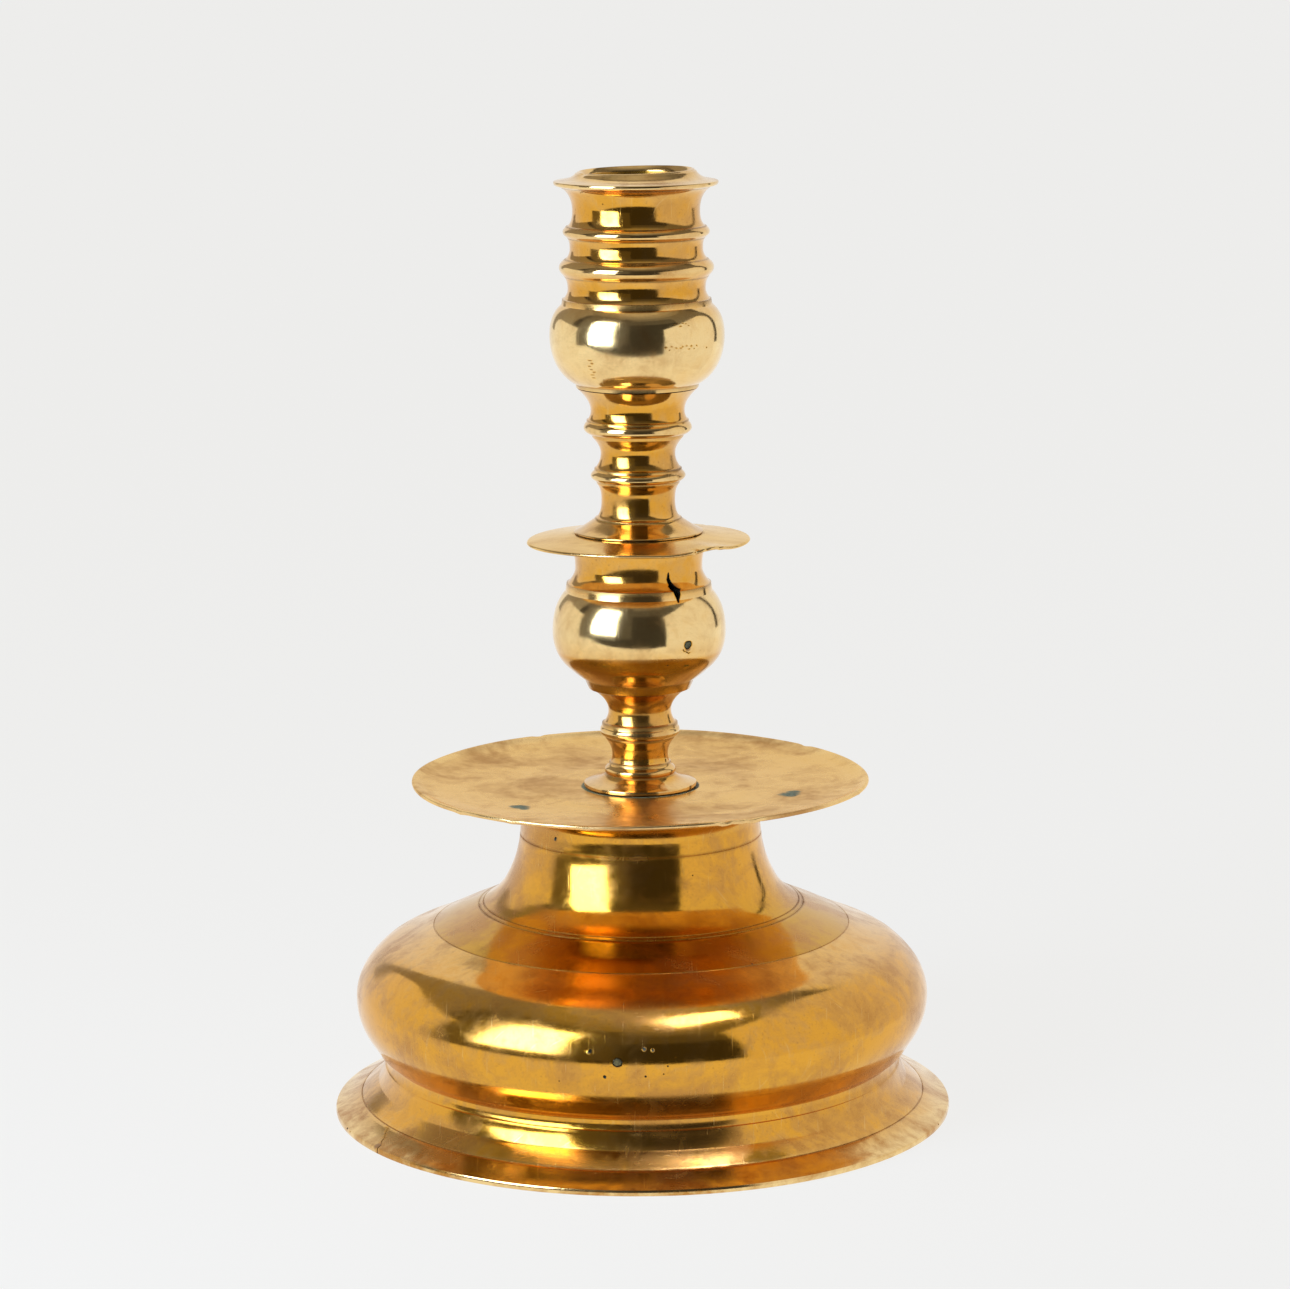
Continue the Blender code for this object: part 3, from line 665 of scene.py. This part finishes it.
# ================================================================ tie rod with a cut thread
def threaded_rod(name, radius, low, high, thread_low, thread_high, pitch, depth, around=48):
    """A rod whose lower part carries a real helical thread, in millimetres."""
    steps = []
    z = low
    while z < high - 1e-6:
        steps.append(z)
        z += pitch / 8 if z < thread_high else 6.0
    steps.append(high)
    verts, faces = [(0.0, 0.0, low)], []
    for z in steps:
        for j in range(around):
            a = math.tau * j / around
            wave = abs(((z / pitch - a / math.tau) % 1.0) * 2 - 1)
            on = min(1.0, max(0.0, (thread_high - z) / 1.5)) if z >= thread_low else 1.0
            r = radius - depth * on * (1 - wave) ** 0.8
            end = min(1.0, (z - low) / 1.0, (high - z) / 1.0)
            r = min(r, radius - 1.0 + max(0.0, end))
            verts.append((r * math.sin(a), -r * math.cos(a), z))
    for j in range(around):
        faces.append((0, 1 + (j + 1) % around, 1 + j))
    for k in range(len(steps) - 1):
        a, b = 1 + k * around, 1 + (k + 1) * around
        for j in range(around):
            n = (j + 1) % around
            faces.append((a + j, a + n, b + n, b + j))
    verts.append((0.0, 0.0, high))
    last = 1 + (len(steps) - 1) * around
    for j in range(around):
        faces.append((len(verts) - 1, last + j, last + (j + 1) % around))
    mesh = bpy.data.meshes.new(name)
    mesh.from_pydata([(x * MM, y * MM, z * MM) for x, y, z in verts], [], faces)
    mesh.shade_smooth()
    mesh.set_sharp_from_angle(angle=math.radians(40))
    obj = bpy.data.objects.new(name, mesh)
    bpy.context.scene.collection.objects.link(obj)
    return obj


rod = threaded_rod("threaded_tie_rod", 4.0, 73.0, 226.5, 73.0, 92.0, 1.25, 0.45)


# ================================================================ casting flaws
# plugs: short pins let into drilled holes, a little proud and uneven
def plug(name, radius, depth, wall_r, height, turn, seed, lean=0.0):
    rng = np.random.default_rng(seed)
    around = 40
    a = np.arange(around) * math.tau / around
    ragged = 1.0 + sum(w * np.sin(n * a + p) for n, w, p in ((2, 0.06, rng.uniform(0, 6)), (3, 0.045, rng.uniform(0, 6)), (5, 0.03, rng.uniform(0, 6))))
    rows = [(0.0, 0.10), (0.35, 0.10), (0.7, 0.07), (0.9, 0.02), (0.98, -0.10), (1.0, -0.3), (1.0, -depth)]
    verts = []
    for share, z in rows[1:]:
        for j in range(around):
            bumpy = 0.05 * math.sin(3 * a[j] + 9 * share) * (1 if share < 0.95 else 0)
            verts.append((radius * share * ragged[j] * math.sin(a[j]), -radius * share * ragged[j] * math.cos(a[j]), z + bumpy))
    top, base = len(verts), len(verts) + 1
    verts += [(0.0, 0.0, 0.10), (0.0, 0.0, -depth)]
    faces = [(top, j, (j + 1) % around) for j in range(around)]
    for k in range(len(rows) - 2):
        for j in range(around):
            n = (j + 1) % around
            faces.append((k * around + j, (k + 1) * around + j, (k + 1) * around + n, k * around + n))
    last = (len(rows) - 2) * around
    faces += [(base, last + (j + 1) % around, last + j) for j in range(around)]
    mesh = bpy.data.meshes.new(name)
    mesh.from_pydata([(x * MM, y * MM, z * MM) for x, y, z in verts], [], faces)
    mesh.shade_smooth()
    mesh.set_sharp_from_angle(angle=math.radians(40))
    mesh.transform(wall_frame(wall_r, height, turn, lean))
    obj = bpy.data.objects.new(name, mesh)
    bpy.context.scene.collection.objects.link(obj)
    return obj, ragged


bell_pin, bell_edge = plug("bell_casting_plug", 1.12, 2.8, 83.2, 36.0, -4.7, 5)
knop_pin, knop_edge = plug("knop_casting_plug", 1.05, 3.2, 24.9, 140.5, 33.6, 6)


def plug_hole(bm, radius, edge, wall_r, height, turn, gap, low, high):
    a = np.arange(len(edge)) * math.tau / len(edge)
    shape = [((radius * k + gap) * math.sin(t), -(radius * k + gap) * math.cos(t)) for k, t in zip(edge, a)]
    add_prism(bm, shape, low, high, wall_frame(wall_r, height, turn))


# in the bell: the plug's hole and the pits near it
bm = bmesh.new()
plug_hole(bm, 1.12, bell_edge, 83.2, 36.0, -4.7, 0.20, -8.0, 3.0)
for seed, (r, z, az, wide, tall, deep, lean) in enumerate(
    (
        (82.55, 38.9, -10.0, 0.55, 0.60, 0.45, 20),
        (83.25, 31.9, -7.1, 0.50, 0.50, 0.45, -8),
        (82.35, 39.9, 0.1, 0.36, 0.52, 0.34, 22),
        (82.45, 39.5, 1.9, 0.30, 0.42, 0.30, 22),
        (82.1, 41.0, -0.6, 0.30, 0.36, 0.28, 25),
        (83.3, 32.1, 0.6, 0.34, 0.34, 0.28, -6),
        (83.25, 32.7, 4.0, 0.24, 0.24, 0.22, -5),
        (83.3, 34.9, 4.8, 0.26, 0.26, 0.22, 0),
        (83.2, 37.2, 6.3, 0.22, 0.22, 0.20, 8),
        (82.9, 30.0, -16.0, 0.22, 0.22, 0.2, -10),
        (81.2, 43.0, 12.0, 0.24, 0.2, 0.2, 35),
        (83.1, 37.8, 27.0, 0.22, 0.2, 0.2, 10),
        (83.2, 33.0, 148.0, 0.5, 0.4, 0.35, -5),
        (82.7, 38.4, -131.0, 0.45, 0.4, 0.35, 12),
    )
):
    add_pit(bm, wide, tall, deep, wall_frame(r, z, az, lean), 100 + seed)
# on the neck and the shoulder
for seed, (r, z, az, wide, tall, deep, lean) in enumerate(
    ((34.72, 85.6, -44.2, 0.42, 0.38, 0.3, 0), (48.4, 60.3, -27.8, 0.30, 0.34, 0.25, 65), (36.0, 76.3, 24.0, 0.22, 0.22, 0.2, 0), (60.0, 55.2, 31.0, 0.25, 0.25, 0.2, 65))
):
    add_pit(bm, wide, tall, deep, wall_frame(r, z, az, lean), 200 + seed)
# the crack through the foot's edge: a thin zigzag slot that closes inwards
crack = [(82.3, -61.6, 0.05), (83.6, -60.6, 0.13), (84.6, -60.0, 0.19), (85.9, -58.7, 0.16), (87.2, -58.2, 0.25), (88.4, -57.0, 0.22), (89.3, -56.9, 0.32), (91.0, -56.2, 0.40)]
left = [(r, az - math.degrees(w / 2 / r)) for r, az, w in crack]
right = [(r, az + math.degrees(w / 2 / r)) for r, az, w in crack]
shape = [(r * math.sin(math.radians(az)), -r * math.cos(math.radians(az))) for r, az in left + right[::-1]]
add_prism(bm, shape, -2.0, 5.5, Matrix.Identity(4))
# bites out of the foot's edge
for seed, (r, z, az, wide, tall, deep) in enumerate(((90.25, 1.7, -71.0, 0.9, 0.6, 0.55), (90.2, 1.6, -69.0, 0.5, 0.5, 0.4), (90.2, 1.6, 71.0, 0.5, 0.5, 0.45), (90.25, 1.7, 12.0, 0.5, 0.4, 0.4), (90.2, 1.6, 160.0, 0.8, 0.6, 0.5))):
    add_pit(bm, wide, tall, deep, wall_frame(r, z, az), 300 + seed)
cut_with(bell, bm, "bell_flaws")

# in the lower knop: the plug's hole, the crack and pit under it, and the open void above
bm = bmesh.new()
plug_hole(bm, 1.05, knop_edge, 24.9, 140.5, 33.6, 0.20, -8.0, 3.0)
crack_lines = [
    [(-0.75, -1.75), (-0.2, -2.05), (0.35, -2.35), (0.95, -2.25), (0.9, -2.45), (0.3, -2.62), (-0.35, -2.25), (-0.85, -1.9)],
    [(-1.55, -1.05), (-1.3, -1.35), (-0.95, -1.9), (-1.1, -2.0), (-1.5, -1.55), (-1.7, -1.2)],
]
for line in crack_lines:
    add_prism(bm, line, -0.9, 3.0, wall_frame(24.9, 140.5, 33.6))
for seed, (r, z, az, wide, tall, deep, lean) in enumerate(((24.2, 145.8, 27.0, 0.2, 0.2, 0.2, 15), (23.6, 134.8, 20.0, 0.22, 0.2, 0.2, -25), (18.9, 164.0, -40.0, 0.2, 0.2, 0.2, 0), (24.9, 139.0, 118.0, 0.35, 0.3, 0.3, 0))):
    add_pit(bm, wide, tall, deep, wall_frame(r, z, az, lean), 400 + seed)
tear = [
    (-0.91, 4.25), (-0.66, 3.74), (-0.75, 3.0), (-0.42, 1.98), (-0.17, 1.39), (0.42, 0.51), (1.08, -0.15), (1.74, -0.51), (2.41, -0.51), (1.91, -0.88), (1.49, -1.17), (1.54, -1.98), (1.25, -2.86),
    (0.91, -3.6), (0.66, -4.18), (0.08, -4.25), (0.0, -3.3), (-0.42, -2.27), (-0.83, -1.25), (-1.41, -0.22), (-1.66, 0.22), (-1.33, 0.66), (-1.58, 1.39), (-1.66, 2.13), (-1.41, 2.86), (-1.25, 3.74),
]
place = wall_frame(19.6, 156.5, 30.2)
add_prism(bm, tear, -1.5, 4.5, place)
cut_with(lower, bm, "knop_flaws")
# the void goes right through the wall in its middle
bm = bmesh.new()
add_prism(bm, [(x * 0.66 - 0.12, y * 0.84 + 0.10) for x, y in tear], -9.0, -0.9, place)
cut_with(lower, bm, "knop_void")

# pits under the flange, a nick in the lip and one hole in its rim
bm = bmesh.new()
for seed, (r, z, az, wide, tall, deep, lean) in enumerate(
    (
        (20.7, 268.1, -46.8, 0.34, 0.22, 0.25, -40),
        (20.4, 267.9, -49.5, 0.26, 0.2, 0.22, -40),
        (20.7, 268.1, -43.0, 0.2, 0.18, 0.2, -40),
        (18.6, 264.9, -30.0, 0.22, 0.2, 0.18, -15),
        (16.3, 273.6, -42.0, 0.9, 0.45, 0.5, 60),
        (15.7, 273.5, -55.0, 0.5, 0.35, 0.4, 80),
        (24.3, 228.0, 41.0, 0.22, 0.2, 0.18, 5),
        (24.9, 224.5, 52.0, 0.2, 0.2, 0.18, -5),
        (20.0, 253.9, 62.0, 0.2, 0.2, 0.2, -20),
    )
):
    add_pit(bm, wide, tall, deep, wall_frame(r, z, az, lean), 500 + seed)
speckles = [(az, 225.1 + 0.45 * math.sin(az * 1.7), 0.26, 0.10) for az in (19, 21.5, 23, 26, 29.5, 31, 34, 36, 37.5, 40, 42)]
speckles += [(26 + 2.1 * k, 231.6 + 0.5 * math.sin(2.3 * k), 0.24, 0.09) for k in range(6)]
speckles += [(-33 + 1.5 * math.sin(2.0 * k), 221.6 - 0.85 * k, 0.55, 0.07) for k in range(7)]
for seed, (az, z, wide, tall) in enumerate(speckles):
    heights, radii = zip(*sorted((point[1], point[0]) for point in socket_profile if 212.9 <= point[1] <= 235.4))
    r = float(np.interp(z, heights, radii))
    add_pit(bm, wide, tall, 0.07, wall_frame(r, z, az), 600 + seed)
cut_with(socket, bm, "socket_flaws")


# ================================================================ materials and the frame
m_bell = brass("bell_brass", mottle=1.2, rough=0.088, lines=1.6, scratch=1.8, crusts=((0.012, 0.028, 0.026), (0.045, 0.085, 0.080)), spots=[
    (*on_surface(82.5, 39.6, 0.4), 0.0006), (*on_surface(82.6, 39.3, 2.0), 0.0005), (*on_surface(34.7, 85.2, -44.5), 0.0005), (*on_surface(83.0, 38.6, -10.2), 0.0006)],
    stains=[(*on_surface(83.2, 36.0, -4.7), 0.0013), (*on_surface(89.0, 2.0, -57.5), 0.0012), (*on_surface(84.5, 2.8, -60.4), 0.0010)])
m_pan = brass("pan_brass", gold=(0.80, 0.49, 0.165), pale=(0.93, 0.68, 0.335), tan=(0.54, 0.28, 0.09), rough=0.23, mottle=0.9, edge=(1.0, 0.86, 0.60), ripple=0.6, lines=1.6, scratch=2.0, ring=(0.0168, 0.0008), spots=[
    (*on_surface(43.9, 95.4, -51.7), 0.0026), (*on_surface(44.3, 95.4, -48.0), 0.0015), (*on_surface(44.8, 95.4, 72.5), 0.0030), (*on_surface(45.2, 95.4, 77.0), 0.0020), (*on_surface(46.5, 95.5, 70.0), 0.0012)])
m_lower = brass("lower_stem_brass", mottle=0.65, rough=0.085, spots=[(*on_surface(17.6, 156.2, 32.5), 0.0010), (*on_surface(17.4, 157.4, 30.0), 0.0007)], stains=[(*on_surface(20.0, 156.3, 31.0), 0.0018), (*on_surface(24.9, 139.4, 33.6), 0.0008)])
m_disc = brass("disc_brass", gold=(0.82, 0.51, 0.15), pale=(0.93, 0.68, 0.32), rough=0.125, mottle=0.5, edge=(1.0, 0.90, 0.68), ripple=0.7, lines=1.2, scratch=1.6)
m_upper = brass("upper_stem_brass", mottle=0.65, rough=0.10)
m_socket = brass("socket_brass", mottle=0.65, rough=0.085, scratch=1.6)
m_iron = iron("dark_iron")
m_bell_plug = plug_metal("bell_plug_metal", (0.22, 0.19, 0.09), (0.03, 0.025, 0.012))
m_knop_plug = plug_metal("knop_plug_metal", (0.17, 0.17, 0.10), (0.035, 0.036, 0.022))

m_residue = residue("flaw_residue")
for piece, node, slot, material in (
    (bell, "bell_base", "polished_brass", m_bell),
    (pan, "drip_pan", "worn_pan_brass", m_pan),
    (lower, "lower_stem", "polished_brass", m_lower),
    (disc, "mid_disc", "polished_brass", m_disc),
    (upper, "upper_stem", "polished_brass", m_upper),
    (socket, "candle_socket", "polished_brass", m_socket),
    (rod, "tie_rod", "forged_iron", m_iron),
    (bell_pin, "bell_plug", "plug_brass", m_bell_plug),
    (knop_pin, "knop_plug", "plug_brass", m_knop_plug),
):
    piece.data.materials.clear()
    piece.data.materials.append(material)
    if piece.name in uncut:
        piece.data.materials.append(m_residue)
        dirty_cuts(piece, 1)
    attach(piece, "root")
    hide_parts(node)
for node in ("clamp_washer", "clamp_nut"):
    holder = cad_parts[node]
    for held in holder.material_slots:
        held.material = m_iron


# ================================================================ studio
def glow(name, color, strength):
    found = bpy.data.materials.new(name)
    found.use_nodes = True
    tree = found.node_tree
    tree.nodes.clear()
    light = tree.nodes.new("ShaderNodeEmission")
    light.inputs["Color"].default_value = (*color, 1.0)
    light.inputs["Strength"].default_value = strength
    out = tree.nodes.new("ShaderNodeOutputMaterial")
    tree.links.new(light.outputs[0], out.inputs["Surface"])
    return found


def sheet(name, corners, material, seen=False, lit=True, reflected=True):
    """A flat card in the studio, from its corners in metres."""
    mesh = bpy.data.meshes.new(name)
    mesh.from_pydata([tuple(c) for c in corners], [], [tuple(range(len(corners)))])
    mesh.materials.append(material)
    obj = bpy.data.objects.new(name, mesh)
    bpy.context.scene.collection.objects.link(obj)
    obj.visible_camera = seen
    obj.visible_glossy = reflected
    obj.visible_diffuse = lit
    obj.visible_shadow = False
    return obj


def at(azimuth, distance, height):
    a = math.radians(azimuth)
    return (distance * math.sin(a), -distance * math.cos(a), height)


def curtain(name, posts, material, lit=False):
    """A curved upright card: posts are (azimuth, distance, bottom, top), and each gap between two is one flat panel."""
    verts = [at(az, far, z) for az, far, low, top in posts for z in (low, top)]
    mesh = bpy.data.meshes.new(name)
    mesh.from_pydata(verts, [], [(2 * k, 2 * k + 2, 2 * k + 3, 2 * k + 1) for k in range(len(posts) - 1)])
    mesh.materials.append(material)
    obj = bpy.data.objects.new(name, mesh)
    bpy.context.scene.collection.objects.link(obj)
    obj.visible_camera = False
    obj.visible_diffuse = lit
    obj.visible_shadow = False
    return obj


def ceiling(name, radius, height, material):
    ring = [(radius * math.cos(math.tau * k / 32), radius * math.sin(math.tau * k / 32), height) for k in range(32)]
    return sheet(name, ring, material, lit=False)


WHITE = (1.0, 0.985, 0.96)

# what the camera sees: a pale floor that runs into a pale surround
def pale_floor(name, size, y0):
    mesh = bpy.data.meshes.new(name)
    mesh.from_pydata([(-size, -size, 0), (size, -size, 0), (size, size, 0), (-size, size, 0)], [], [(0, 1, 2, 3)])
    found = bpy.data.materials.new(name)
    found.use_nodes = True
    tree = found.node_tree
    shader = tree.nodes["Principled BSDF"]
    shader.inputs["Base Color"].default_value = (0.07, 0.07, 0.07, 1.0)
    shader.inputs["Roughness"].default_value = 0.9
    shader.inputs["Specular IOR Level"].default_value = 0.0
    shader.inputs["Emission Color"].default_value = (1.0, 0.996, 0.982, 1.0)
    shader.inputs["Emission Strength"].default_value = 0.845
    mesh.materials.append(found)
    obj = bpy.data.objects.new(name, mesh)
    bpy.context.scene.collection.objects.link(obj)
    obj.location.z = -0.0002
    obj.visible_glossy = False
    return obj


pale_floor("floor", 14.0, 0)

# the surround: a large dome, seen by the camera only
bpy.ops.mesh.primitive_uv_sphere_add(segments=64, ring_count=32, radius=13.0)
dome = bpy.context.active_object
dome.name = "surround"
dome.data.materials.append(glow("surround_glow", (1.0, 0.997, 0.983), 0.850))
dome.visible_glossy = False
dome.visible_diffuse = False
dome.visible_shadow = False

# what the brass mirrors
floor_glow = glow("table_top", (1.0, 0.998, 0.985), 0.95)
sheet("table_top", [(-1.3, -0.463, -0.0006), (1.3, -0.463, -0.0006), (1.3, 1.6, -0.0006), (-1.3, 1.6, -0.0006)], floor_glow, lit=False)
back_glow = glow("back_sweep", (1.0, 0.99, 0.97), 0.88)
curtain("back_sweep", [(-139.5, 1.5, -0.01, 1.5), (-160, 1.3, -0.01, 1.9), (180, 1.25, -0.01, 2.0), (160, 1.3, -0.01, 1.9), (128, 1.5, -0.01, 1.4)], back_glow)
card_glow = glow("right_card", (1.0, 0.97, 0.93), 0.88)
curtain("right_card", [(35, 0.30, 0, 0.325), (45, 0.285, 0, 0.345), (56, 0.272, 0, 0.36), (76, 0.265, 0, 0.395), (92, 0.275, 0, 0.42), (104, 0.285, 0, 0.43), (112, 0.295, 0, 0.41), (118, 0.30, 0, 0.36)], card_glow)
left_glow = glow("left_card", (1.0, 0.99, 0.97), 0.91)
curtain("left_card", [(-138, 0.565, 0.06, 0.27), (-134, 0.56, 0, 0.345), (-128, 0.55, 0, 0.375), (-111, 0.53, 0, 0.385), (-98, 0.535, 0, 0.385), (-85, 0.55, 0, 0.375)], left_glow)
window_glow = glow("softbox", (0.93, 1.10, 1.36), 7.4)
curtain("softbox", [(-65.5, 0.63, 0.14, 0.725), (-49, 0.605, 0.14, 0.775), (-31.5, 0.64, 0.14, 0.80)], window_glow, lit=True)
for name, posts, strength in (
    ("wall_left", [(-150, 1.35, 0.2, 1.9), (-125, 1.25, 0.2, 2.1), (-99, 1.25, 0.2, 2.0)], 0.33),
    ("wall_window", [(-88, 1.3, 0.05, 2.2), (-60, 1.2, 0.05, 2.3), (-27, 1.3, 0.05, 2.2)], 0.17),
    ("wall_front_a", [(-27, 1.35, 0.05, 2.2), (-10, 1.35, 0.05, 2.2)], 0.105),
    ("wall_right", [(62, 1.35, 0.4, 2.2), (90, 1.3, 0.4, 2.2), (124, 1.35, 0.4, 2.2)], 0.20),
):
    curtain(name, posts, glow(name, (1.0, 0.95, 0.86), strength))
for name, radius, height, strength in (("ceiling_a", 0.75, 2.50, 0.52), ("ceiling_b", 1.10, 2.54, 0.38), ("ceiling_c", 1.5, 2.58, 0.30), ("ceiling_d", 2.0, 2.62, 0.20), ("ceiling_e", 3.4, 2.66, 0.11)):
    ceiling(name, radius, height, glow(name, (1.0, 0.96, 0.88), strength))
# a small overhead lamp that falls on the bell only
lamp = bpy.data.lights.new("top_lamp", "AREA")
lamp.shape = "RECTANGLE"
lamp.size, lamp.size_y = 0.38, 0.20
lamp.energy = 1.5
lamp.color = (0.92, 1.0, 1.55)
top_box = bpy.data.objects.new("top_lamp", lamp)
bpy.context.scene.collection.objects.link(top_box)
centre = Vector(at(45, 0.36, 0.98))
side = Vector((math.cos(math.radians(45)), math.sin(math.radians(45)), 0.0))
toward = (Vector((0, 0, 0.1)) - centre).normalized()
ahead = (-toward).cross(side).normalized()
turned_to = Matrix((side, ahead, -toward)).transposed().to_4x4()
turned_to.translation = centre
top_box.matrix_world = turned_to
top_box.visible_camera = False
lit_by_top = bpy.data.collections.new("lit_by_top")
lit_by_top.objects.link(bell)
top_box.light_linking.receiver_collection = lit_by_top

world = bpy.data.worlds.new("dim_room")
bpy.context.scene.world = world
world.use_nodes = True
world.node_tree.nodes["Background"].inputs["Color"].default_value = (1.0, 0.93, 0.80, 1.0)
world.node_tree.nodes["Background"].inputs["Strength"].default_value = 0.050


# ================================================================ camera
FOCAL_PIXELS, WIDTH = 4158.0, 1290.0
camera_data = bpy.data.cameras.new("camera")
camera = bpy.data.objects.new("camera", camera_data)
bpy.context.scene.collection.objects.link(camera)
camera_data.sensor_width = 36.0
camera_data.lens = FOCAL_PIXELS / WIDTH * 36.0
camera_data.clip_start, camera_data.clip_end = 0.05, 60.0
pitch, yaw, roll = math.radians(10.42), math.radians(0.080), math.radians(0.41)
forward = Vector((math.sin(yaw) * math.cos(pitch), math.cos(yaw) * math.cos(pitch), -math.sin(pitch)))
level = forward.cross(Vector((0, 0, 1))).normalized()
upward = level.cross(forward)
rightward = level * math.cos(roll) - upward * math.sin(roll)
upward = upward * math.cos(roll) + level * math.sin(roll)
pose = Matrix((rightward, upward, -forward)).transposed().to_4x4()
pose.translation = (0.0, -1.18, 0.3539)
camera.matrix_world = pose
bpy.context.scene.camera = camera
view = bpy.context.scene.view_settings
view.view_transform = "Standard"
view.look = "None"
